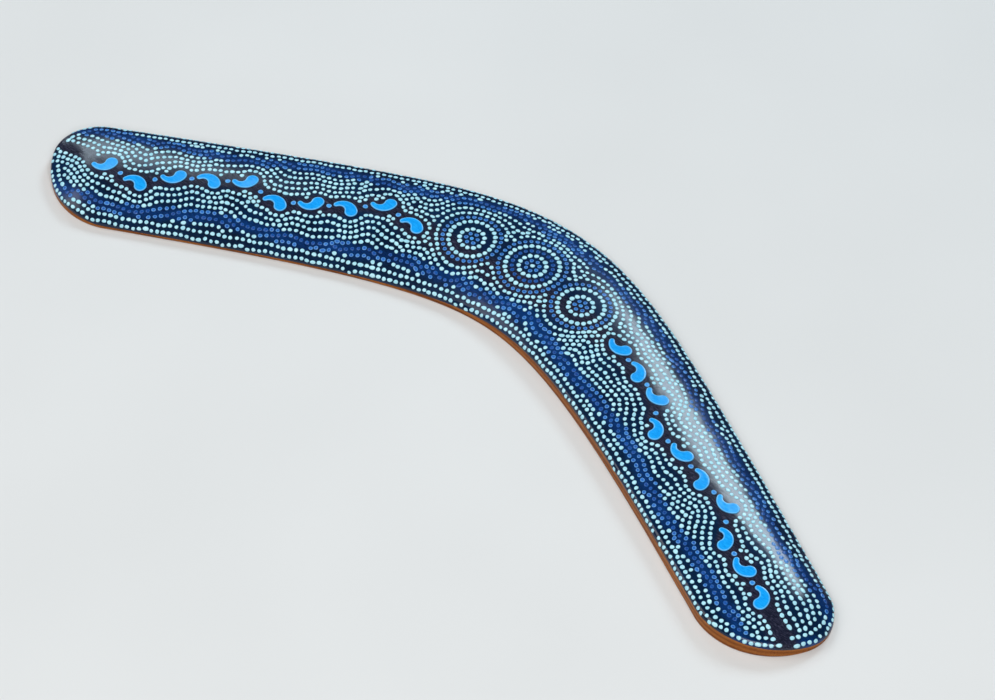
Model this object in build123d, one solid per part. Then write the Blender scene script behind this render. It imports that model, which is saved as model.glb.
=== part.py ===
from build123d import *
from collections import namedtuple
import math
import os

# A flat-bottomed two-arm boomerang, ten inches across, shaped from one hardwood board
# and painted on its upper side.
# Frame: origin on the flat underside at the middle of the elbow, +X along the span,
# +Y towards the outside of the bend, +Z up through the painted face. Millimetres.

# Plan shape. The centre line is a hyperbola: two straight arms and a round elbow.
SPAN = 254.0  # ten inches, tip to tip
ARM_SLOPE = 0.564  # fall of each arm per unit of span
ELBOW_ROUND = 33.0  # larger makes the bend rounder
ARM_HALF_WIDTH = 15.95
ELBOW_EXTRA = 3.5  # how much wider the blade is at the elbow, each side
ELBOW_REACH = 45.0  # how far along X that extra width dies away
TIP_APEX = 4.9  # how far the tip's furthest point lies outside the centre line
TIP_OUTER_LENGTH = 12.5  # length of the rounding on the outer side of a tip
TIP_INNER_LENGTH = 20.0  # and on the inner side, which is longer and softer
TIP_X = SPAN / 2 - 14.6  # centre-line station where the tips start to round
STRAIGHT_SHARE = 0.93  # the edges are sampled on this share of TIP_X, clear of the tips

# Section. The left arm leads with its outer edge and the right arm with its inner edge.
CROWN = 7.2  # thickness at the elbow
CROWN_TIP_LOSS = 1.0  # the crown is lower by this at the tips
CROWN_SHIFT = 0.22  # crown's place, as a share of the half width, towards the leading edge
LEAD_HEIGHT = 4.8  # height of the shoulder at a leading edge
TRAIL_HEIGHT = 2.2  # height of the shoulder at a trailing edge
TURNOVER = 28.0  # how far along X the leading edge takes to change sides
TIP_ROLL = 15.0  # length over which the face rolls down at each tip
ROLL_POWER = 2.3  # larger keeps the face flatter and its edges steeper
CROWN_TO_APEX = 45.0  # length over which the crown swings across to the apex of a tip

# Edges and ground coat.
SHOULDER_FILLET = 1.2  # rounding between the face and the edge wall
BOTTOM_FILLET = 0.5
COAT = 0.15  # thickness of the ground coat
COAT_WRAP = 1.15  # how far the ground coat runs down the edge wall, below the shoulder

# Trail marks: bent dabs of thick paint, narrow at one end, in a row along each arm. The two
# rows are alike and wind evenly about the centre line.
MARK_HEIGHT = 0.25
MARK_BEND_RADIUS = 2.7
MARK_SWEEP = 120.0  # degrees of bend
MARK_NARROW = 0.75  # half width at the narrow end
MARK_BROAD = 1.75  # half width at the broad end
MARK_LEAN = 18.0  # degrees that marks lean, to one side and the other in turn
WINDING = 2.4  # how far a row winds to either side of the centre line
WINDING_LENGTH = 38.0  # length of one full winding of a row
ROW_START = 34.0  # distance of a row's first mark from the middle of the span
ROW_END = 110.0
Row = namedtuple("Row", "count elbow_end tip_end flip_first")
ROWS = (
    Row(10, -ROW_START, -ROW_END, flip_first=False),
    Row(10, ROW_START, ROW_END, flip_first=True),
)

# Surface sampling.
OVERHANG = 1.22  # the face is drawn wider than the blade by this factor, then trimmed
PAST_TIP = 24.0  # and longer than the last station by this much
STATIONS = 57
LANES = 21
EDGE_POINTS = 25
FACE_TOLERANCE = 0.005
PRISM_TOP = 2 * CROWN  # height of plan prisms, well past the crown
OVER_FACE = 3 * CROWN  # height of the space over the face, past the prisms
LEVEL_EDGE = 0.9  # an edge whose tangent rises less than this runs round the rim
NEAR = 0.01  # edges this close to the underside belong to it
UP = Vector(0, 0, 1)


def centre(x):
    """Point of the centre line at station x."""
    return Vector(x, -ARM_SLOPE * (math.hypot(x, ELBOW_ROUND) - ELBOW_ROUND), 0)


def along(x):
    """Unit tangent of the centre line, pointing towards +X."""
    return Vector(1, -ARM_SLOPE * x / math.hypot(x, ELBOW_ROUND), 0).normalized()


def outward(x):
    """Unit normal of the centre line, pointing to the outside of the bend."""
    t = along(x)
    return Vector(-t.Y, t.X, 0)


def half_width(x):
    return ARM_HALF_WIDTH + ELBOW_EXTRA / (1 + (x / ELBOW_REACH) ** 2)


def tip_frame(side):
    """Apex of one tip, with the unit vectors out along the arm and out of the bend."""
    end = side * TIP_X
    away = along(end) * side
    across = outward(end)
    apex = centre(end) + across * TIP_APEX + away * TIP_OUTER_LENGTH
    return apex, away, across


def quarter_ellipse(middle, long_way, length, cross_way, width):
    """Edge from the end of the cross axis round to the end of the long axis."""
    plane = Plane(origin=middle, x_dir=long_way, z_dir=long_way.cross(cross_way))
    return Edge.make_ellipse(length, width, plane=plane, start_angle=0, end_angle=90)


def outline(inset):
    """The plan outline, drawn in by inset, as a face on the XY plane."""
    ends = {}
    edges = []
    for side in (-1, 1):
        apex, away, across = tip_frame(side)
        outer_middle = apex - away * TIP_OUTER_LENGTH
        inner_middle = apex - away * TIP_INNER_LENGTH
        outer_width = half_width(TIP_X) - TIP_APEX - inset
        inner_width = half_width(TIP_X) + TIP_APEX - inset
        edges.append(quarter_ellipse(outer_middle, away, TIP_OUTER_LENGTH - inset, across, outer_width))
        edges.append(quarter_ellipse(inner_middle, away, TIP_INNER_LENGTH - inset, -across, inner_width))
        ends[side, 1] = outer_middle + across * outer_width
        ends[side, -1] = inner_middle - across * inner_width
    tangents = [-tip_frame(-1)[1], tip_frame(1)[1]]
    for edge_side in (1, -1):
        points = [ends[-1, edge_side]]
        for i in range(1, EDGE_POINTS - 1):
            x = STRAIGHT_SHARE * TIP_X * (2 * i / (EDGE_POINTS - 1) - 1)
            points.append(centre(x) + outward(x) * edge_side * (half_width(x) - inset))
        points.append(ends[1, edge_side])
        edges.append(Edge.make_spline(points, tangents=tangents))
    return Face(Wire(edges))


def prism(face):
    """A plan face raised well past the crown."""
    return Solid.extrude(face, UP * PRISM_TOP)


def shoulder_height(turn, v):
    """Height of the face's rim; turn runs from -1 on the left arm to 1 on the right."""
    middle = (LEAD_HEIGHT + TRAIL_HEIGHT) / 2
    half_gap = (LEAD_HEIGHT - TRAIL_HEIGHT) / 2
    return middle - half_gap * turn * math.sin(math.pi / 2 * max(-1.0, min(1.0, v)))


def crown_lane(x, turn):
    """Where the crown runs across the blade, as a share of the half width."""
    apex_lane = TIP_APEX / half_width(x)
    near_tip = max(0.0, 1 - (TIP_X - abs(x)) / CROWN_TO_APEX)
    swing = math.sin(math.pi / 2 * min(1.0, near_tip)) ** 2
    return swing * apex_lane - (1 - swing) * CROWN_SHIFT * turn


def face_height(x, v):
    """Height of the painted face at station x and lane v: 1 is the outer edge, -1 the inner."""
    turn = math.tanh(x / TURNOVER)
    shoulder = shoulder_height(turn, v)
    crown = CROWN - CROWN_TIP_LOSS * (x / TIP_X) ** 2
    lane = crown_lane(x, turn)
    off_crown = v - lane
    reach = 1 - lane if off_crown > 0 else 1 + lane
    across = abs(off_crown) / reach
    past = (abs(x) - TIP_X) / along(x).X + TIP_ROLL - TIP_OUTER_LENGTH
    roll = max(0.0, past) / TIP_ROLL
    dome = 1 - math.hypot(across, roll) ** ROLL_POWER
    if dome < 0:
        dome = math.tanh(dome)
    return shoulder + (crown - shoulder) * dome


def face_surface(drop):
    """The painted face as one smooth surface, wider than the blade, lowered by drop."""
    grid = []
    reach = TIP_X + PAST_TIP
    for i in range(STATIONS):
        x = reach * (2 * i / (STATIONS - 1) - 1)
        row = []
        for j in range(LANES):
            v = OVERHANG * (2 * j / (LANES - 1) - 1)
            spot = centre(x) + outward(x) * v * half_width(x)
            row.append(spot + UP * (face_height(x, v) - drop))
        grid.append(row)
    return Face.make_surface_from_array_of_points(grid, tol=FACE_TOLERANCE, min_deg=3, max_deg=5)


def above(drop):
    """Everything over the face surface lowered by drop."""
    return Solid.extrude(face_surface(drop), UP * OVER_FACE)


def blade_form(depth):
    """The blade's form, drawn in by depth at its walls and its face, with a round shoulder."""
    body = prism(outline(depth)) - above(depth)
    rim = [e for e in body.edges() if e.center().Z > BOTTOM_FILLET and abs(e.tangent_at(0.5).Z) < LEVEL_EDGE]
    return fillet(rim, SHOULDER_FILLET - depth)


def coat_film():
    """The ground coat: a film over the face and the shoulder, down to the paint line."""
    return (blade_form(0) - blade_form(COAT)) & above(COAT_WRAP)


def board():
    """The hardwood: full size below the paint line, one coat smaller above it."""
    bare = blade_form(0) - above(COAT_WRAP)
    bottom = bare.edges().filter_by_position(Axis.Z, -NEAR, NEAR)
    return fillet(bottom, BOTTOM_FILLET) + blade_form(COAT)


def mark_spot(x):
    """Where a row of marks passes the place x along the span."""
    winding = WINDING * math.sin(2 * math.pi * (abs(x) - ROW_START) / WINDING_LENGTH)
    return centre(x) + outward(x) * winding


def bend_point(angle, off):
    """Point at an angle round the bend of a mark, off its middle line by off."""
    turn = math.radians(angle)
    reach = MARK_BEND_RADIUS + off
    return Vector(reach * math.cos(turn), reach * math.sin(turn) - MARK_BEND_RADIUS, 0)


def mark_face():
    """One bent dab, its broad end towards +X and its bend towards +Y."""
    broad_angle = 90 - MARK_SWEEP / 2
    narrow_angle = 90 + MARK_SWEEP / 2
    middle = (MARK_NARROW + MARK_BROAD) / 2
    ends = {}
    for angle, half, way in ((broad_angle, MARK_BROAD, -1), (narrow_angle, MARK_NARROW, 1)):
        turn = math.radians(angle)
        cap = bend_point(angle, 0) + Vector(-math.sin(turn), math.cos(turn), 0) * half * way
        ends[angle] = (bend_point(angle, half), cap, bend_point(angle, -half))
    broad_out, broad_cap, broad_in = ends[broad_angle]
    narrow_out, narrow_cap, narrow_in = ends[narrow_angle]
    return Face(Wire([
        Edge.make_three_point_arc(narrow_out, bend_point(90, middle), broad_out),
        Edge.make_three_point_arc(broad_out, broad_cap, broad_in),
        Edge.make_three_point_arc(broad_in, bend_point(90, -middle), narrow_in),
        Edge.make_three_point_arc(narrow_in, narrow_cap, narrow_out),
    ]))


def placed_mark(x, flipped):
    """The mark at the place x, turned over to bend and lean the other way if flipped."""
    spot = mark_spot(x)
    heading = math.degrees(math.atan2(along(x).Y, along(x).X))
    lean = MARK_LEAN if flipped else -MARK_LEAN
    dab = mark_face()
    if flipped:
        dab = mirror(dab, about=Plane.XZ)
    return Pos(spot.X, spot.Y) * Rot(0, 0, heading + lean) * dab


def trail():
    """All trail marks, each a separate low dab standing on the ground coat."""
    over_coat = above(0)
    over_marks = above(-MARK_HEIGHT)
    marks = []
    for row in ROWS:
        for i in range(row.count):
            x = row.elbow_end + (row.tip_end - row.elbow_end) * i / (row.count - 1)
            flipped = (i % 2 == 1) != row.flip_first
            column = prism(placed_mark(x, flipped).face())
            marks.append(((column & over_coat) - over_marks).solid())
    return Compound(marks)


def build():
    return {
        "hardwood_blade": board(),
        "ground_coat": coat_film(),
        "trail_marks": trail(),
    }


if __name__ == "__main__":
    os.makedirs("parts", exist_ok=True)
    for name, shape in build().items():
        export_step(shape, f"parts/{name}.step")
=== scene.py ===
import math
import random

import bpy
import numpy as np
from mathutils import Matrix, Vector
from mathutils.bvhtree import BVHTree


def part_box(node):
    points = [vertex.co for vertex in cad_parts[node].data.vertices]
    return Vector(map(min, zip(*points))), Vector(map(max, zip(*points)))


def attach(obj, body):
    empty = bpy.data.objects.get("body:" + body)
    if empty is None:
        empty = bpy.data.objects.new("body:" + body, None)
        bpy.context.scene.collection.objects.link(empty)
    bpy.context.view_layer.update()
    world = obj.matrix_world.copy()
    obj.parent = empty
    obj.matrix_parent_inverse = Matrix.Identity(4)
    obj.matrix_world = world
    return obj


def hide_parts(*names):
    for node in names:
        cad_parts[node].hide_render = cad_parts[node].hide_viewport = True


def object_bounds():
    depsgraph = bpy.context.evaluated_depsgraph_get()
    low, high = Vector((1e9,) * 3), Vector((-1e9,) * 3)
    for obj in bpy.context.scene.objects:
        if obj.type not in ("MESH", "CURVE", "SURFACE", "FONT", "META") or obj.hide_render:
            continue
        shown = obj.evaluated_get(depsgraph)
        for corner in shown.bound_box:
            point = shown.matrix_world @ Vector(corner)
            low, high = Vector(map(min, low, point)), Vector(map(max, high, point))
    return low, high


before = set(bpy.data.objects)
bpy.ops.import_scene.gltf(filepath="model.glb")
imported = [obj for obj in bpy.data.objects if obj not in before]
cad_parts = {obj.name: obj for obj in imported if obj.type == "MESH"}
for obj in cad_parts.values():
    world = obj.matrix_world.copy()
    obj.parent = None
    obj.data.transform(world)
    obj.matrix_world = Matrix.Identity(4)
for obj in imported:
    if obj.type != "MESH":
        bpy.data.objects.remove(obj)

SIZE_AT_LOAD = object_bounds()
MM = 0.001

# ---------------------------------------------------------------- driving sizes, in millimetres
GRID = 0.5  # spacing of the plan grid that the pattern is worked out on
CHUNK = 4000  # plan points measured at a time, which keeps the tables of distances small
FAR = 1000.0  # stands for a distance that has not been measured
LEAST_STEEPNESS = 0.05  # squared slope of a field below which a step along it is held back
ROW_PITCH = 1.7  # between neighbouring rows of dots
DOT_PITCH = 1.62  # between neighbouring dots of one row
CLOSEST = 1.36  # no two dots stand closer than this, centre to centre
DOT_RADIUS = 0.57
RING_DOT = 1.22  # pale dots of the rosettes are larger than those of the rows by this factor
BLUE_RING_DOT = RING_DOT * 0.86  # and the blue dots of the rosettes by this one
BETWEEN_DOT = 1.3  # and the one dot between neighbouring trail marks by this one
DOT_HEIGHT = 0.15
WOBBLE = 0.1  # how far a dot strays from its row
RING_WOBBLE = 0.6  # share of it that a dot of a rosette strays by
STEP_RANGE = (0.96, 1.08)  # chance range of the step from dot to dot, in dot pitches
SIZE_RANGE = (0.9, 1.08)  # chance range of the size of a dot in a row
RING_SIZE_RANGE = (0.92, 1.06)  # and of a dot in a rosette
STRETCH_RANGE = (1.0, 1.2)  # chance range of a dot's length over its width
DRAWN_OUT = 1.45  # length over width of the few dots that are drawn out
DRAWN_OUT_SHARE = 0.05  # how many of all dots are
EDGE_MARGIN = 0.25  # dots keep this far inside the outline
EDGE_START = 0.4  # distance from the outline to the first row that follows it
TIP_ROUNDING = 22.0  # length over which the outline rounds off at each tip
STRAIGHT_SHARE = 0.85  # share of the half span that lies clear of that rounding
END_CELLS = 20  # grid cells that give the slope of the centre line at its ends
CORRIDOR = 1.7  # half width of the plain ground left along each trail of marks
RUN_ON = 3  # that ground runs on past the last mark by this many steps between marks
MARK_CLEARANCE = 1.0  # plain ground left round each mark
MARK_REACH = 25.0  # the distance to a mark is worked out no further from it than this
TRAIL_CREASE = 2.0  # creases between the marks and their corridor are rounded over this
MOTIF_CREASE = 3.0  # and those between rosettes and trails over this
WAVE_HEIGHT = 1.3  # how far the rows swing to and fro along the arms
WAVE_LENGTH = 20.0
EDGE_SWAY = 0.15  # how far the two rows along the outline swing
BAND_IN = 5.2  # from the long edge to the middle of the blue band
BAND_SWING = 0.8  # how far that middle swings to either side
BAND_WAVE = 8.0  # larger makes its swings longer
BAND_HALF_WIDTH = 1.7
DEEP_SHARE = 0.4  # share of the band, in its middle, that is deep blue
BAND_END_CELLS = 12  # grid columns left out at each end of a band's line
BAND_STEP_CELLS = 11  # grid columns from one point of that line to the next
MARK_RISE = 0.26  # height of a trail mark over the coat
SEED = 11
GOLDEN_SHARE = 0.381966  # spreads the marks' tints evenly


# ---------------------------------------------------------------- the painted face, from the frame
class PaintedFace:
    """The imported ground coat: where its face is, and where a plan point lies on the blade."""

    def __init__(self, node):
        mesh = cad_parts[node].data
        self.points = [tuple(v.co / MM) for v in mesh.vertices]
        faces = [tuple(p.vertices) for p in mesh.polygons]
        self.tree = BVHTree.FromPolygons(self.points, faces)
        low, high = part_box(node)
        self.low = np.array(low) / MM
        self.high = np.array(high) / MM
        self.build_grid()

    def over(self, x, y):
        """Height of the face at a plan point, or None outside the outline."""
        hit = self.tree.ray_cast((x, y, self.high[2] + 10), (0, 0, -1))
        return None if hit[0] is None else hit[0].z

    def touch(self, x, y):
        """Point and normal of the face at a plan point, or of its nearest wall if outside."""
        top = self.over(x, y)
        height = (self.low[2] + self.high[2]) / 2 if top is None else top
        return self.tree.find_nearest((x, y, height))[:2]

    def build_grid(self):
        pad = 4 * GRID
        self.xs = np.arange(self.low[0] - pad, self.high[0] + pad, GRID)
        self.ys = np.arange(self.low[1] - pad, self.high[1] + pad, GRID)
        inside = np.array([[self.over(x, y) is not None for y in self.ys] for x in self.xs])
        self.inside = inside
        self.find_centre_line()
        gx, gy = np.meshgrid(self.xs, self.ys, indexing="ij")
        self.gx, self.gy = gx, gy
        flat = np.stack([gx.ravel(), gy.ravel()], 1)
        self.along, self.across = [v.reshape(gx.shape) for v in self.centre_coordinates(flat)]
        rim = self.rim_cells()
        self.to_edge = self.distance_to_edge(flat, rim).reshape(gx.shape)
        self.to_side = self.distance_to_side(rim)

    def find_centre_line(self):
        """Midpoints between the two edges, carried on straight where the tips start to round."""
        columns = [i for i in range(len(self.xs)) if self.inside[i].any()]
        mid = {i: self.ys[self.inside[i]].mean() for i in columns}
        straight = [i for i in columns if abs(self.xs[i]) < self.high[0] * STRAIGHT_SHARE]
        first, last = straight[0], straight[-1]
        run = END_CELLS * GRID
        left = (mid[first + END_CELLS] - mid[first]) / run
        right = (mid[last] - mid[last - END_CELLS]) / run
        line = []
        for i, x in enumerate(self.xs):
            if i < first:
                y = mid[first] + left * (x - self.xs[first])
            elif i > last:
                y = mid[last] + right * (x - self.xs[last])
            else:
                y = mid[i]
            line.append((x, y))
        self.line = np.array(line)
        steps = np.hypot(*np.diff(self.line, axis=0).T)
        travelled = np.concatenate([[0], np.cumsum(steps)])
        self.run = travelled - np.interp(0, self.line[:, 0], travelled)
        middle = self.ys[self.inside[np.abs(self.xs).argmin()]]
        self.elbow_half_width = (middle.max() - middle.min()) / 2

    def centre_coordinates(self, flat):
        """Distance along the centre line, and signed distance out of the bend, of plan points."""
        along = np.empty(len(flat))
        across = np.empty(len(flat))
        tangent = np.gradient(self.line, axis=0)
        tangent /= np.hypot(*tangent.T)[:, None]
        for start in range(0, len(flat), CHUNK):
            here = slice(start, start + CHUNK)
            part = flat[here]
            gap = part[:, None, :] - self.line[None]
            near = (gap**2).sum(2).argmin(1)
            rest = part - self.line[near]
            t = tangent[near]
            along[here] = self.run[near] + (rest * t).sum(1)
            across[here] = rest[:, 1] * t[:, 0] - rest[:, 0] * t[:, 1]
        return along, across

    def rim_cells(self):
        """The grid cells along the outline."""
        solid = self.inside
        rim = np.zeros_like(solid)
        rim[1:-1, 1:-1] = solid[1:-1, 1:-1] & ~(
            solid[2:, 1:-1] & solid[:-2, 1:-1] & solid[1:-1, 2:] & solid[1:-1, :-2]
        )
        return rim

    def distance_to_edge(self, flat, rim):
        """Distance from each plan point to the outline, negative outside."""
        edge = np.stack([self.gx[rim], self.gy[rim]], 1)
        gap = np.empty(len(flat))
        for start in range(0, len(flat), CHUNK):
            here = slice(start, start + CHUNK)
            apart = flat[here][:, None, :] - edge[None]
            gap[here] = np.sqrt((apart**2).sum(2).min(1))
        return np.where(self.inside.ravel(), gap + GRID / 2, GRID / 2 - gap)

    def distance_to_side(self, rim):
        """Distance to the long edge on each point's own side, as if the tips were not rounded."""
        straight = rim & (np.abs(self.along) < np.abs(self.along[rim]).max() - TIP_ROUNDING)
        gap = np.empty(self.gx.shape)
        for out in (1, -1):
            edge = straight & (self.across * out > 0)
            order = np.argsort(self.along[edge])
            width = np.interp(self.along, self.along[edge][order], np.abs(self.across[edge])[order])
            here = self.across * out >= 0
            gap[here] = (width - np.abs(self.across))[here]
        return gap

    def sample(self, field, x, y):
        """Value of a grid field at a plan point, between its grid values."""
        u = (x - self.xs[0]) / GRID
        v = (y - self.ys[0]) / GRID
        i = min(max(int(u), 0), len(self.xs) - 2)
        j = min(max(int(v), 0), len(self.ys) - 2)
        a, b = u - i, v - j
        near = field[i, j] * (1 - b) + field[i, j + 1] * b
        far = field[i + 1, j] * (1 - b) + field[i + 1, j + 1] * b
        return near * (1 - a) + far * a


# ---------------------------------------------------------------- laying out the pattern
class Layout:
    """Every dot of the painting: where it is, which way it runs, its size and its colour."""

    def __init__(self, face):
        self.face = face
        self.dots = []
        self.cells = {}
        self.random = random.Random(SEED)

    def crowded(self, x, y, gap):
        """Whether a dot already stands closer than gap."""
        ci, cj = int(x // DOT_PITCH), int(y // DOT_PITCH)
        for i in range(ci - 1, ci + 2):
            for j in range(cj - 1, cj + 2):
                for px, py in self.cells.get((i, j), ()):
                    if (px - x) ** 2 + (py - y) ** 2 < gap * gap:
                        return True
        return False

    def fits(self, x, y):
        """Whether a dot may stand here: inside the outline and clear of the others."""
        if self.face.sample(self.face.to_edge, x, y) < EDGE_MARGIN:
            return False
        return not self.crowded(x, y, CLOSEST)

    def add(self, x, y, angle, colour, scale=1.0, stretch=1.0):
        self.dots.append((x, y, angle, colour, scale, stretch, self.random.random()))
        self.cells.setdefault((int(x // DOT_PITCH), int(y // DOT_PITCH)), []).append((x, y))

    def ring(self, centre, radius, colour, scale):
        """Evenly spaced dots round a circle, left out wherever something is already painted."""
        count = max(1, round(2 * math.pi * radius / DOT_PITCH))
        turn = self.random.random() * 2 * math.pi
        for k in range(count):
            angle = turn + 2 * math.pi * k / count
            x = centre[0] + radius * math.cos(angle) + self.stray(RING_WOBBLE)
            y = centre[1] + radius * math.sin(angle) + self.stray(RING_WOBBLE)
            if self.fits(x, y):
                size = scale * self.random.uniform(*RING_SIZE_RANGE)
                self.add(x, y, angle + math.pi / 2, colour, size)

    def stray(self, share=1.0):
        """A small chance offset."""
        return self.random.uniform(-WOBBLE, WOBBLE) * share

    def row(self, rows, level, allowed, colour_at):
        """Dots along one level of the field rows, wherever it is allowed and free."""
        face = self.face
        near = (np.abs(rows.field - level) < GRID * 0.6) & allowed & (face.to_edge > EDGE_MARGIN)
        starts = np.argwhere(near)
        for i, j in starts[np.argsort(face.along[near])]:
            x, y = rows.settle(level, face.xs[i], face.ys[j])
            if self.fits(x, y) and face.sample(allowed, x, y) > 0.5:
                self.place(x, y, rows, colour_at)
                for way in (1, -1):
                    self.march(rows, level, allowed, colour_at, x, y, way)

    def march(self, rows, level, allowed, colour_at, x, y, way):
        """Steps along a level from one dot to the next until something is in the way."""
        while True:
            gx, gy = rows.slope(x, y)
            step = DOT_PITCH * way * self.random.uniform(*STEP_RANGE)
            x, y = rows.settle(level, x - gy * step, y + gx * step)
            if not self.fits(x, y) or self.face.sample(allowed, x, y) < 0.5:
                return
            self.place(x, y, rows, colour_at)

    def place(self, x, y, rows, colour_at):
        """One dot of a row, a little off its place; a few are drawn out."""
        gx, gy = rows.slope(x, y)
        colour, scale = colour_at(x, y)
        stretch = DRAWN_OUT
        if self.random.random() >= DRAWN_OUT_SHARE:
            stretch = self.random.uniform(*STRETCH_RANGE)
        self.add(
            x + self.stray(), y + self.stray(), math.atan2(gx, -gy),
            colour, scale * self.random.uniform(*SIZE_RANGE), stretch,
        )

    def fill(self, rows, allowed, colour_at):
        """Odd dots in the gaps that the rows left."""
        face = self.face
        spots = np.argwhere(allowed & (face.to_edge > 2 * EDGE_START))
        for i, j in spots:
            x, y = face.xs[i], face.ys[j]
            if not self.crowded(x, y, CLOSEST):
                self.place(x, y, rows, colour_at)


class Rows:
    """A field whose evenly spaced levels are the rows of dots."""

    def __init__(self, face, field):
        self.face = face
        self.field = field
        self.gradient = np.gradient(field, GRID)

    def slope(self, x, y):
        """Unit vector across the rows at a plan point."""
        gx, gy = (self.face.sample(g, x, y) for g in self.gradient)
        size = math.hypot(gx, gy) or 1.0
        return gx / size, gy / size

    def settle(self, level, x, y):
        """The point of a level line nearest to a plan point."""
        for _ in range(3):
            gx, gy = (self.face.sample(g, x, y) for g in self.gradient)
            steepness = max(gx * gx + gy * gy, LEAST_STEEPNESS)
            miss = (level - self.face.sample(self.field, x, y)) / steepness
            x += gx * miss
            y += gy * miss
        return x, y


def smooth_min(a, b, reach):
    """The lesser of two fields, with the crease between them rounded over reach."""
    h = np.clip(0.5 + 0.5 * (b - a) / reach, 0, 1)
    return b * (1 - h) + a * h - reach * h * (1 - h)


# Rosettes: rings of dots round a centre, from the middle outwards. None leaves a bare ring,
# this share of the usual pitch wide.
BARE_RING = 0.72
MAIN_RINGS = ("pale", "mid", "pale", "deep", "pale", "mid")
SIDE_RINGS = ("bright", "mid", "pale", None, "pale", "mid")
MAIN_PITCH = 1.8
SIDE_PITCH = 1.65
# Three of them stand on the centre line, this share of the elbow's half width apart along X.
ROSETTE_GAP = 0.95
ROSETTES = ((-1, SIDE_RINGS, SIDE_PITCH), (0, MAIN_RINGS, MAIN_PITCH), (1, SIDE_RINGS, SIDE_PITCH))


class Mark:
    """One trail mark: its plan outline and its middle."""

    def __init__(self, outline):
        self.outline = outline
        self.middle = outline.mean(0)


def read_marks():
    """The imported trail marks, ordered along the span."""
    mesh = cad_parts["trail_marks"].data
    marks = [Mark(plan_outline(mesh, part)) for part in loose_parts(mesh)]
    return sorted(marks, key=lambda mark: mark.middle[0])


def plan_outline(mesh, polygons):
    """The top rim of one mark as evenly spaced plan points, anticlockwise."""
    sides = []
    for polygon in polygons:
        if polygon.normal.z < WALL:
            continue
        keys = [spot_key(mesh.vertices[i].co) for i in polygon.vertices]
        for a, b in zip(keys, keys[1:] + keys[:1]):
            sides.append((a, b))
    known = set(sides)
    onward = {a: b for a, b in sides if (b, a) not in known}
    start = next(iter(onward))
    loop = [start]
    while onward[loop[-1]] != start:
        loop.append(onward[loop[-1]])
    points = np.array(loop + [start])[:, :2]
    run = np.concatenate([[0], np.cumsum(np.hypot(*np.diff(points, axis=0).T))])
    steps = np.linspace(0, run[-1], MARK_SIDES, endpoint=False)
    return np.stack([np.interp(steps, run, points[:, axis]) for axis in (0, 1)], 1)


def spot_key(co):
    """A vertex position in millimetres, rounded so that doubled vertices agree."""
    return tuple(round(c / MM, 3) for c in co)


def loose_parts(mesh):
    """The polygons of each connected piece of a mesh, with vertices at one place joined."""
    spot = {}
    root = list(range(len(mesh.vertices)))

    def find(i):
        while root[i] != i:
            root[i] = root[root[i]]
            i = root[i]
        return i

    for v in mesh.vertices:
        root[v.index] = spot.setdefault(spot_key(v.co), v.index)
    for p in mesh.polygons:
        first = find(p.vertices[0])
        for i in p.vertices[1:]:
            root[find(i)] = first
    parts = {}
    for p in mesh.polygons:
        parts.setdefault(find(p.vertices[0]), []).append(p)
    return list(parts.values())


def paint_rosettes(layout):
    """The rings at the elbow. Returns each rosette's centre and outer radius."""
    shapes = []
    face = layout.face
    for place, rings, pitch in ROSETTES:
        x = place * ROSETTE_GAP * face.elbow_half_width
        centre = np.array((x, np.interp(x, face.line[:, 0], face.line[:, 1])))
        radius = 0.0
        for colour in rings:
            if colour is None:
                radius -= pitch * (1 - BARE_RING)
            else:
                scale = RING_DOT if colour == "pale" else BLUE_RING_DOT
                layout.ring(centre, radius, colour, scale)
            radius += pitch
        shapes.append((centre, radius - pitch / 2))
    return shapes


def paint_between(layout, marks):
    """One dot half way between each two neighbouring marks of a trail."""
    for mark, after in zip(marks, marks[1:]):
        if mark.middle[0] * after.middle[0] > 0:
            x, y = (mark.middle + after.middle) / 2
            layout.add(x, y, 0.0, "bright", BETWEEN_DOT)


def trail_field(face, marks):
    """Distance from the plain ground kept round the marks and along the two trails."""
    field = np.full(face.gx.shape, FAR)
    for side in (-1, 1):
        trail = [mark.middle for mark in marks if mark.middle[0] * side > 0]
        trail.sort(key=lambda p: abs(p[0]))
        trail.append(trail[-1] + (trail[-1] - trail[-2]) * RUN_ON)
        field = smooth_min(field, distance_to_path(face, trail) - CORRIDOR, TRAIL_CREASE)
    for mark in marks:
        clear = distance_to_mark(face, mark) - MARK_CLEARANCE
        field = smooth_min(field, clear, TRAIL_CREASE)
    return field


def rosette_field(face, rosettes):
    """Distance from the outer rings of the rosettes."""
    field = np.full(face.gx.shape, FAR)
    for centre, radius in rosettes:
        clear = np.hypot(face.gx - centre[0], face.gy - centre[1]) - radius
        field = smooth_min(field, clear, MOTIF_CREASE)
    return field


def distance_to_mark(face, mark):
    """Distance from each grid point to the outline of a mark; far points keep a large value."""
    best = np.full(face.gx.shape, FAR)
    near = np.abs(face.gx - mark.middle[0]) < MARK_REACH
    near &= np.abs(face.gy - mark.middle[1]) < MARK_REACH
    for x, y in mark.outline[::4]:
        best[near] = np.minimum(best[near], np.hypot(face.gx[near] - x, face.gy[near] - y))
    return best


def band_middle(along):
    """Distance from the long edge to the middle of the blue band, alike on every side."""
    return BAND_IN + BAND_SWING * math.sin(along / BAND_WAVE)


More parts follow.
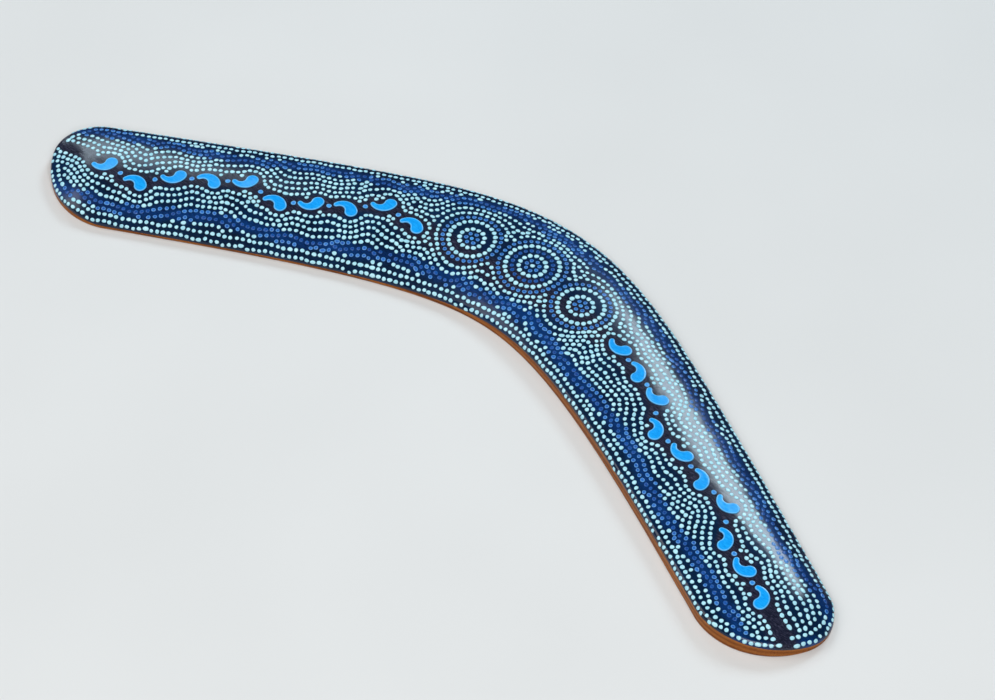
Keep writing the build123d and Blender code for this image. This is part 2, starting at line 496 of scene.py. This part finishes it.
def lay_out(face, marks):
    """The whole painting: rosettes and trails first, then rows round them, then the gaps."""
    layout = Layout(face)
    paint_between(layout, marks)
    rosettes = paint_rosettes(layout)
    trails = trail_field(face, marks)
    motif = smooth_min(trails, rosette_field(face, rosettes), MOTIF_CREASE)
    free = motif > 0
    # Two waves of unlike length, out of step on the two sides of the centre line. They die
    # away towards the motifs, whose outlines the nearest rows follow.
    outer = np.tanh(face.across / 3)
    turns = 2 * math.pi * face.along / WAVE_LENGTH
    wave = np.sin(turns + 1.3 * outer) + 0.45 * np.sin(0.61 * turns + 2.0)
    rows = Rows(face, motif + WAVE_HEIGHT * wave * np.clip(0.15 + motif / 8, 0, 1))
    edges = Rows(face, face.to_edge + EDGE_SWAY * np.sin(turns * 2.3))

    def colour_at(x, y):
        along = face.sample(face.along, x, y)
        side = face.sample(face.to_side, x, y)
        off = abs(side - band_middle(along)) / BAND_HALF_WIDTH
        if off > 1 or face.sample(face.to_edge, x, y) < EDGE_START + 0.5 * ROW_PITCH:
            return "pale", 1.0
        return ("deep", 0.98) if off < DEEP_SHARE else ("mid", 1.0)

    layout.row(edges, EDGE_START, trails > 0, colour_at)
    layout.row(edges, EDGE_START + ROW_PITCH, free, colour_at)
    for level in np.arange(ROW_PITCH / 2, rows.field[face.inside].max(), ROW_PITCH):
        layout.row(rows, level, free, colour_at)
    layout.fill(rows, free, colour_at)
    return layout.dots


def distance_to_path(face, path):
    """Distance from each grid point to a path through the given points."""
    best = np.full(face.gx.shape, FAR)
    for a, b in zip(path[:-1], path[1:]):
        d = b - a
        t = ((face.gx - a[0]) * d[0] + (face.gy - a[1]) * d[1]) / (d @ d)
        t = np.clip(t, 0, 1)
        best = np.minimum(best, np.hypot(face.gx - a[0] - t * d[0], face.gy - a[1] - t * d[1]))
    return best


# ---------------------------------------------------------------- meshes
SEGMENTS = 10  # sides of a dot
WALL = 0.5  # polygons whose normal rises less than this are walls
# Profile of a dot from its buried foot to its top: share of the radius, share of the height.
DOT_PROFILE = ((0.97, -0.4), (1.0, 0.22), (0.84, 0.72), (0.5, 0.96))


def walls(base, rings, sides):
    """The quads between stacked rings of vertices, the first of which starts at base."""
    quads = []
    for start in range(base, base + (rings - 1) * sides, sides):
        for k in range(sides):
            a = start + k
            b = start + (k + 1) % sides
            quads.append((a, b, b + sides, a + sides))
    return quads


def dot_mesh(face, dots, name):
    """One mesh for many dots, each a closed dome that follows the face it sits on."""
    verts = []
    faces = []
    tint = []
    rim = []
    for x, y, angle, _, scale, stretch, shade in dots:
        centre, normal = face.touch(x, y)
        way = Vector((math.cos(angle), math.sin(angle), 0))
        way = (way - normal * way.dot(normal)).normalized()
        side = normal.cross(way)
        height = DOT_HEIGHT * scale
        base = len(verts)
        for share, rise in DOT_PROFILE:
            for k in range(SEGMENTS):
                turn = 2 * math.pi * k / SEGMENTS
                lobes = 1 + 0.05 * math.sin(2 * turn + 40 * shade)
                lobes += 0.045 * math.sin(3 * turn + 90 * shade)
                radius = DOT_RADIUS * scale * share * lobes
                push = way * (math.cos(turn) * radius * stretch) + side * (math.sin(turn) * radius)
                spot, up, _, _ = face.tree.find_nearest(centre + push)
                verts.append(spot + up * (height * rise))
                rim.append(share)
        verts.append(centre + normal * height)
        rim.append(0.0)
        tint += [shade] * (SEGMENTS * len(DOT_PROFILE) + 1)
        faces += walls(base, len(DOT_PROFILE), SEGMENTS)
        apex = base + len(DOT_PROFILE) * SEGMENTS
        last = apex - SEGMENTS
        for k in range(SEGMENTS):
            faces.append((last + k, last + (k + 1) % SEGMENTS, apex))
        faces.append(tuple(base + k for k in reversed(range(SEGMENTS))))
    return make_piece(name, verts, faces, {"tint": tint, "rim": rim})


def make_piece(name, verts, faces, values):
    """An object in the scene from points in millimetres, with values stored on its points."""
    mesh = bpy.data.meshes.new(name)
    mesh.from_pydata([tuple(v * MM for v in p) for p in verts], [], faces)
    for key, numbers in values.items():
        layer = mesh.attributes.new(key, "FLOAT", "POINT")
        layer.data.foreach_set("value", np.array(numbers, np.float32))
    mesh.shade_smooth()
    piece = bpy.data.objects.new(name, mesh)
    bpy.context.scene.collection.objects.link(piece)
    return piece


MARK_SIDES = 56  # points round the outline of a mark
# Profile of a mark from its foot to its flat top: inset in millimetres, share of the rise.
MARK_PROFILE = ((0.0, -0.2), (0.0, 0.4), (0.07, 0.72), (0.2, 0.94), (0.42, 1.0), (0.62, 0.96))


def drawn_in(outline, inset):
    """A closed plan outline moved inwards, its corners eased by averaging its normals."""
    onward = np.roll(outline, -1, 0) - np.roll(outline, 1, 0)
    inward = np.stack([-onward[:, 1], onward[:, 0]], 1) / np.hypot(*onward.T)[:, None]
    for _ in range(2):
        inward = (np.roll(inward, 1, 0) + inward + np.roll(inward, -1, 0)) / 3
    return outline + inward * inset


def mark_mesh(face, marks, name):
    """The trail marks as soft-edged dabs of paint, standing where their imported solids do."""
    verts = []
    faces = []
    tint = []
    rim = []
    for number, mark in enumerate(marks):
        base = len(verts)
        for inset, rise in MARK_PROFILE:
            for x, y in drawn_in(mark.outline, inset):
                spot, up = face.touch(x, y)
                verts.append(spot + up * (MARK_RISE * rise))
                rim.append(1 - inset / MARK_PROFILE[-1][0])
                tint.append(number * GOLDEN_SHARE % 1)
        faces += walls(base, len(MARK_PROFILE), MARK_SIDES)
        top = base + (len(MARK_PROFILE) - 1) * MARK_SIDES
        faces.append(tuple(top + k for k in range(MARK_SIDES)))
        faces.append(tuple(base + k for k in reversed(range(MARK_SIDES))))
    return make_piece(name, verts, faces, {"tint": tint, "rim": rim})


# ---------------------------------------------------------------- materials
class Shader:
    """A node tree in short form: every call adds a node and returns its output."""

    MIX_INPUTS = (0, 6, 7)  # the sockets of a mix node that a colour mix uses
    MIX_OUTPUT = 2

    def __init__(self, name):
        self.material = bpy.data.materials.new(name)
        self.material.use_nodes = True
        self.tree = self.material.node_tree
        self.tree.nodes.clear()
        self.output = self.tree.nodes.new("ShaderNodeOutputMaterial")

    def feed(self, socket, value):
        """Joins a socket to the output of another node, or sets it to a plain value."""
        if isinstance(value, bpy.types.NodeSocket):
            self.tree.links.new(value, socket)
        else:
            socket.default_value = value

    def node(self, kind, settings=None, **inputs):
        """A new node; an underscore in the name of an input stands for a space."""
        made = self.tree.nodes.new("ShaderNode" + kind)
        for key, value in (settings or {}).items():
            setattr(made, key, value)
        for key, value in inputs.items():
            self.feed(made.inputs[key.replace("_", " ")], value)
        return made

    def place_mm(self, scale=(1, 1, 1)):
        """Object coordinates in millimetres, stretched by scale."""
        where = self.node("TexCoord").outputs["Object"]
        size = tuple(s / MM for s in scale)
        return self.node("Mapping", Vector=where, Scale=size).outputs["Vector"]

    def noise(self, where, scale, detail=3.0, rough=0.55, distortion=0.0):
        made = self.node(
            "TexNoise", Vector=where, Scale=scale,
            Detail=detail, Roughness=rough, Distortion=distortion,
        )
        return made.outputs["Fac"]

    def math(self, operation, a, b=0.0):
        made = self.node("Math", {"operation": operation})
        for socket, value in zip(made.inputs, (a, b)):
            self.feed(socket, value)
        return made.outputs[0]

    def ramp(self, factor, stops):
        """Colour ramp from (place, colour) stops."""
        made = self.node("ValToRGB", Fac=factor)
        elements = made.color_ramp.elements
        while len(elements) < len(stops):
            elements.new(0.5)
        for element, (place, colour) in zip(elements, stops):
            element.position = place
            element.color = (*colour, 1)
        return made.outputs["Color"]

    def range(self, value, low, high, to_low, to_high):
        made = self.node(
            "MapRange", Value=value,
            From_Min=low, From_Max=high, To_Min=to_low, To_Max=to_high,
        )
        return made.outputs["Result"]

    def mix(self, factor, a, b):
        """Colour a turning into colour b as factor goes from 0 to 1."""
        made = self.node("Mix", {"data_type": "RGBA"})
        for number, value in zip(self.MIX_INPUTS, (factor, a, b)):
            self.feed(made.inputs[number], (*value, 1) if isinstance(value, tuple) else value)
        return made.outputs[self.MIX_OUTPUT]

    def attribute(self, name):
        return self.node("Attribute", {"attribute_name": name}).outputs["Fac"]

    def bump(self, height, strength, distance_mm):
        made = self.node("Bump", Height=height, Strength=strength, Distance=distance_mm * MM)
        return made.outputs["Normal"]

    def finish(self, **inputs):
        surface = self.node("BsdfPrincipled", **inputs)
        self.tree.links.new(surface.outputs["BSDF"], self.output.inputs["Surface"])
        return self.material


LACQUER = 0.8  # weight of the clear coat
LACQUER_ROUGHNESS = 0.17


def lacquer_ripple(s):
    """Normal of the clear lacquer: nearly flat, with the slight ripple of a brushed coat."""
    ripple = s.noise(s.place_mm((0.35, 0.8, 0.8)), 0.9, 2.0)
    return s.bump(ripple, 0.12, 0.25)


def lacquered(s, colour, roughness, grain):
    """Matt paint under the clear lacquer."""
    return s.finish(
        Base_Color=colour, Roughness=roughness, Normal=grain, Specular_IOR_Level=0.0,
        Coat_Weight=LACQUER, Coat_Roughness=LACQUER_ROUGHNESS, Coat_Normal=lacquer_ripple(s),
    )


def span_curve(s, x, pairs, low, high):
    """Plan height in millimetres of a line given as (x, y) pairs, at the place x."""
    width, depth = high[0] - low[0], high[1] - low[1]
    curve = s.node("FloatCurve", Value=s.range(x, low[0], high[0], 0, 1))
    stops = [((px - low[0]) / width, (py - low[1]) / depth) for px, py in pairs]
    points = curve.mapping.curves[0].points
    for stop in stops[1:-1]:
        points.new(*stop)
    points[0].location = stops[0]
    points[len(points) - 1].location = stops[-1]
    curve.mapping.update()
    return s.range(curve.outputs["Value"], 0, 1, low[1], high[1])


def near_line(s, pairs, low, high, inner, outer, ragged):
    """1 within inner of a line of plan points and 0 beyond outer, with a ragged border."""
    where = s.node("SeparateXYZ", Vector=s.place_mm())
    line = span_curve(s, where.outputs["X"], pairs, low, high)
    away = s.math("ABSOLUTE", s.math("SUBTRACT", where.outputs["Y"], line))
    fray = s.math("MULTIPLY", s.math("SUBTRACT", s.noise(s.place_mm(), 0.45, 3.0), 0.5), ragged)
    return s.range(s.math("ADD", away, fray), inner, outer, 1.0, 0.0)


def band_line(face, out):
    """Plan points along the middle of the blue band on the outer (1) or inner (-1) side."""
    pairs = []
    for i in range(BAND_END_CELLS, len(face.xs) - BAND_END_CELLS, BAND_STEP_CELLS):
        middle = [band_middle(a) for a in face.along[i]]
        miss = np.abs(face.to_side[i] - middle)
        miss[(face.across[i] * out < 0) | ~face.inside[i]] = np.inf
        if np.isfinite(miss).any():
            pairs.append((face.xs[i], face.ys[miss.argmin()]))
    return pairs


def ground_material(face, marks):
    """Navy ground: cobalt along the bands and at the elbow, charcoal along the trails."""
    s = Shader("ground_coat_paint")
    streaks = s.noise(s.place_mm((0.5, 2.2, 2.2)), 1.6, 5.0, 0.65, 0.4)
    cloud = s.noise(s.place_mm(), 0.09, 3.0)
    shade = s.math("ADD", s.math("MULTIPLY", streaks, 0.55), s.math("MULTIPLY", cloud, 0.45))
    navy = s.ramp(shade, (
        (0.36, (0.0003, 0.006, 0.022)),
        (0.5, (0.0006, 0.012, 0.042)),
        (0.66, (0.0015, 0.022, 0.075)),
    ))
    cobalt = s.ramp(shade, (
        (0.36, (0.0006, 0.012, 0.06)),
        (0.5, (0.001, 0.025, 0.115)),
        (0.66, (0.003, 0.046, 0.2)),
    ))
    charcoal = s.ramp(streaks, (
        (0.34, (0.004, 0.006, 0.016)),
        (0.52, (0.013, 0.015, 0.034)),
        (0.68, (0.05, 0.05, 0.085)),
    ))
    colour = navy
    for out in (1, -1):
        line = band_line(face, out)
        wash = near_line(s, line, face.low, face.high, inner=0.6, outer=2.8, ragged=3.0)
        colour = s.mix(wash, colour, cobalt)
    span = s.node("SeparateXYZ", Vector=s.place_mm()).outputs["X"]
    half = face.elbow_half_width
    elbow = s.range(s.math("ABSOLUTE", span), 0.6 * half, half, 0.15, 0.0)
    colour = s.mix(elbow, colour, cobalt)
    trail = [mark.middle for mark in marks]
    plain = near_line(s, trail, face.low, face.high, inner=2.6, outer=5.0, ragged=2.0)
    colour = s.mix(plain, colour, charcoal)
    roughness = s.range(streaks, 0.3, 0.7, 0.42, 0.6)
    return lacquered(s, colour, roughness, s.bump(streaks, 0.35, 0.06))


def dot_material(name, light, dark, halo, edge):
    """Paint of one colour of dots: light and dark are its range, halo and edge its two rims. The
    halo on the rounded shoulder is partly a painted highlight; the dark edge at the foot is the
    thin paint's own colour.
    """
    s = Shader(name)
    tint = s.attribute("tint")
    rim = s.attribute("rim")
    body = s.mix(tint, light, dark)
    patch = s.noise(s.place_mm(), 1.8, 3.0)
    body = s.mix(s.range(patch, 0.35, 0.7, 0.0, 0.35), body, dark)
    # Painted highlight: each dot's rounded shoulder is turned towards the halo tone, which is
    # lighter than the body on the blue dots.
    with_sheen = s.mix(s.range(rim, 0.45, 0.8, 0.0, 0.8), body, halo)
    colour = s.mix(s.range(rim, 0.86, 1.0, 0.0, 0.8), with_sheen, edge)
    return lacquered(s, colour, 0.5, s.bump(patch, 0.25, 0.05))


def mark_material():
    """Bright blue of the trail marks, with a pale halo inside a dark rim; the pale halo on the
    rounded shoulder is partly a painted highlight of the brush edge.
    """
    s = Shader("trail_mark_paint")
    rim = s.attribute("rim")
    tint = s.attribute("tint")
    strokes = s.noise(s.place_mm((1.0, 3.0, 1.0)), 0.9, 4.0, 0.6, 0.5)
    body = s.ramp(strokes, (
        (0.3, (0.002, 0.27, 0.78)),
        (0.55, (0.006, 0.37, 0.92)),
        (0.75, (0.02, 0.46, 0.97)),
    ))
    body = s.mix(s.range(tint, 0.0, 1.0, 0.0, 0.2), body, (0.006, 0.26, 0.8))
    # Painted highlight: the rounded shoulder of each dab is made paler, as if light caught its
    # brush edge.
    with_sheen = s.mix(s.range(rim, 0.35, 0.6, 0.0, 0.75), body, (0.16, 0.55, 0.92))
    colour = s.mix(s.range(rim, 0.86, 1.0, 0.0, 0.8), with_sheen, (0.004, 0.06, 0.25))
    return lacquered(s, colour, 0.45, s.bump(strokes, 0.3, 0.06))


def hardwood_material():
    """Sealed orange-brown hardwood: growth rings, fibre and pores along the span."""
    s = Shader("hardwood")
    rings = s.node(
        "TexWave", {"wave_type": "BANDS", "bands_direction": "DIAGONAL"},
        Vector=s.place_mm((0.012, 0.13, 1.0)),
        Scale=0.33, Distortion=2.6, Detail=3.0, Detail_Scale=0.5, Detail_Roughness=0.6,
    ).outputs["Fac"]
    fibre = s.noise(s.place_mm((0.06, 1.0, 1.0)), 2.6, 6.0, 0.7, 0.2)
    pores = s.noise(s.place_mm((0.14, 3.2, 3.2)), 1.3, 2.0, 0.5)
    cloud = s.noise(s.place_mm((0.012, 0.05, 0.05)), 1.0, 2.0)
    tone = s.math("ADD", s.math("MULTIPLY", rings, 0.22), s.math("MULTIPLY", fibre, 0.78))
    tone = s.math("ADD", tone, s.math("MULTIPLY", s.math("SUBTRACT", cloud, 0.5), 0.25))
    colour = s.ramp(tone, (
        (0.3, (0.15, 0.04, 0.008)),
        (0.48, (0.27, 0.082, 0.015)),
        (0.62, (0.36, 0.12, 0.024)),
        (0.8, (0.45, 0.17, 0.04)),
    ))
    pore_mask = s.range(pores, 0.62, 0.7, 0.0, 0.6)
    colour = s.mix(pore_mask, colour, (0.07, 0.02, 0.005))
    relief = s.math("SUBTRACT", fibre, s.math("MULTIPLY", pore_mask, 0.8))
    grain = s.bump(relief, 0.3, 0.08)
    return s.finish(
        Base_Color=colour, Roughness=s.range(fibre, 0.3, 0.7, 0.38, 0.52), Normal=grain,
        Specular_IOR_Level=0.05, Coat_Weight=0.06, Coat_Roughness=0.3,
    )


def floor_material():
    """Pale matt floor that the camera sees fade into the backdrop further out."""
    s = Shader("floor")
    cloud = s.noise(s.place_mm(), 0.01, 2.0)
    colour = s.ramp(cloud, ((0.3, (0.69, 0.69, 0.68)), (0.7, (0.72, 0.72, 0.71))))
    near = s.node("BsdfPrincipled", Base_Color=colour, Roughness=0.9)
    far = s.node("Emission", Color=(*BACKDROP, 1), Strength=1.0)
    out = s.node("VectorMath", {"operation": "LENGTH"}, Vector=s.place_mm()).outputs["Value"]
    fade = s.range(out, FLOOR_FADE[0] / MM, FLOOR_FADE[1] / MM, 0.0, 1.0)
    seen = s.node("LightPath").outputs["Is Camera Ray"]
    blend = s.node("MixShader", Fac=s.math("MULTIPLY", fade, seen))
    s.tree.links.new(near.outputs["BSDF"], blend.inputs[1])
    s.tree.links.new(far.outputs["Emission"], blend.inputs[2])
    s.tree.links.new(blend.outputs["Shader"], s.output.inputs["Surface"])
    return s.material


# ---------------------------------------------------------------- stage, light and camera
BACKDROP = (0.79, 0.81, 0.82)  # colour that the camera sees behind and beyond the floor
FLOOR_FADE = (0.55, 1.3)  # metres from the middle over which the floor turns into it
FLOOR_HALF = 6.0  # metres
WHITE = (1, 1, 1)
SKY = (0.72, 0.89, 1.0)


def add_floor(z):
    """A wide floor at height z, which is part of the stage and not of the object."""
    mesh = bpy.data.meshes.new("floor")
    signs = ((-1, -1), (1, -1), (1, 1), (-1, 1))
    corners = [(x * FLOOR_HALF, y * FLOOR_HALF, z) for x, y in signs]
    mesh.from_pydata(corners, [], [(0, 1, 2, 3)])
    floor = bpy.data.objects.new("floor", mesh)
    bpy.context.scene.collection.objects.link(floor)
    mesh.materials.append(floor_material())


def add_light(name, place, size, watts, colour=WHITE):
    """A soft rectangular light at place, in metres, turned to the middle of the frame."""
    lamp = bpy.data.lights.new(name, "AREA")
    lamp.shape = "RECTANGLE"
    lamp.size, lamp.size_y = size
    lamp.energy = watts
    lamp.color = colour
    holder = bpy.data.objects.new(name, lamp)
    holder.location = place
    holder.rotation_mode = "QUATERNION"
    holder.rotation_quaternion = (-Vector(place)).to_track_quat("-Z", "Y")
    bpy.context.scene.collection.objects.link(holder)


def add_world(strength):
    """Faint even light all round, behind which the camera itself sees the pale backdrop."""
    world = bpy.data.worlds.new("studio")
    world.use_nodes = True
    tree = world.node_tree
    faint = tree.nodes["Background"]
    faint.inputs["Color"].default_value = (0.95, 0.97, 1.0, 1)
    faint.inputs["Strength"].default_value = strength
    backdrop = tree.nodes.new("ShaderNodeBackground")
    backdrop.inputs["Color"].default_value = (*BACKDROP, 1)
    path = tree.nodes.new("ShaderNodeLightPath")
    blend = tree.nodes.new("ShaderNodeMixShader")
    tree.links.new(path.outputs["Is Camera Ray"], blend.inputs["Fac"])
    tree.links.new(faint.outputs["Background"], blend.inputs[1])
    tree.links.new(backdrop.outputs["Background"], blend.inputs[2])
    tree.links.new(blend.outputs["Shader"], tree.nodes["World Output"].inputs["Surface"])
    bpy.context.scene.world = world


def add_camera(target, azimuth, elevation, roll, distance, lens):
    """Camera on target; azimuth 0 looks along +Y, angles in degrees, sizes in metres."""
    a, e = math.radians(azimuth), math.radians(elevation)
    back = Vector((math.sin(a) * math.cos(e), -math.cos(a) * math.cos(e), math.sin(e)))
    lens_data = bpy.data.cameras.new("camera")
    lens_data.lens = lens
    lens_data.clip_start = 0.01
    lens_data.clip_end = 50
    camera = bpy.data.objects.new("camera", lens_data)
    turn = (-back).to_track_quat("-Z", "Y").to_matrix().to_4x4()
    tilt = Matrix.Rotation(math.radians(roll), 4, "Z")
    camera.matrix_world = Matrix.Translation(Vector(target) + back * distance) @ turn @ tilt
    bpy.context.scene.collection.objects.link(camera)
    bpy.context.scene.camera = camera


# ---------------------------------------------------------------- building
# Each colour of dots: its piece, its slot, its light and dark tones, its halo (partly a painted
# highlight on the shoulder) and its rim.
PAINTS = {
    "pale": (
        "pale_dots", "pale_dot_paint",
        (0.56, 0.86, 0.94), (0.36, 0.7, 0.82), (0.4, 0.74, 0.86), (0.03, 0.2, 0.32),
    ),
    "mid": (
        "mid_blue_dots", "mid_blue_dot_paint",
        (0.035, 0.18, 0.58), (0.012, 0.09, 0.4), (0.1, 0.34, 0.72), (0.004, 0.03, 0.16),
    ),
    "deep": (
        "deep_blue_dots", "deep_blue_dot_paint",
        (0.008, 0.08, 0.36), (0.003, 0.04, 0.22), (0.016, 0.12, 0.42), (0.001, 0.014, 0.08),
    ),
    "bright": (
        "bright_blue_dots", "bright_blue_paint",
        (0.06, 0.36, 0.85), (0.03, 0.22, 0.68), (0.16, 0.5, 0.88), (0.006, 0.06, 0.28),
    ),
}
face = PaintedFace("ground_coat")
marks = read_marks()
dots = lay_out(face, marks)
for colour, (name, slot, *shades) in PAINTS.items():
    piece = dot_mesh(face, [d for d in dots if d[3] == colour], name)
    piece.data.materials.append(dot_material(name + "_paint", *shades))
    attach(piece, "root")

dabs = mark_mesh(face, marks, "trail_dabs")
dabs.data.materials.append(mark_material())
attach(dabs, "root")
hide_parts("trail_marks")

for node, material in (
    ("hardwood_blade", hardwood_material()),
    ("ground_coat", ground_material(face, marks)),
):
    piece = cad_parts[node]
    piece.data.materials.clear()
    piece.data.materials.append(material)

add_floor(SIZE_AT_LOAD[0].z)
add_world(0.07)
add_light("key_softbox", (0.55, -0.55, 1.0), (0.7, 0.7), 11.5)
add_light("fill_softbox", (-0.7, -0.5, 0.9), (0.8, 0.8), 6)
add_light("back_softbox", (-0.16, 0.91, 0.735), (0.28, 0.38), 4.8, SKY)
add_light("left_softbox", (-0.85, 0.52, 0.77), (0.3, 0.3), 1.8, SKY)
add_light("under_softbox", (0.4, -0.5, -0.9), (0.8, 0.8), 9)
bpy.context.scene.view_settings.view_transform = "Standard"
add_camera(
    target=(0.0096, -0.0257, 0.0035), azimuth=37.97, elevation=48.82, roll=2.07,
    distance=0.904, lens=127.5,
)
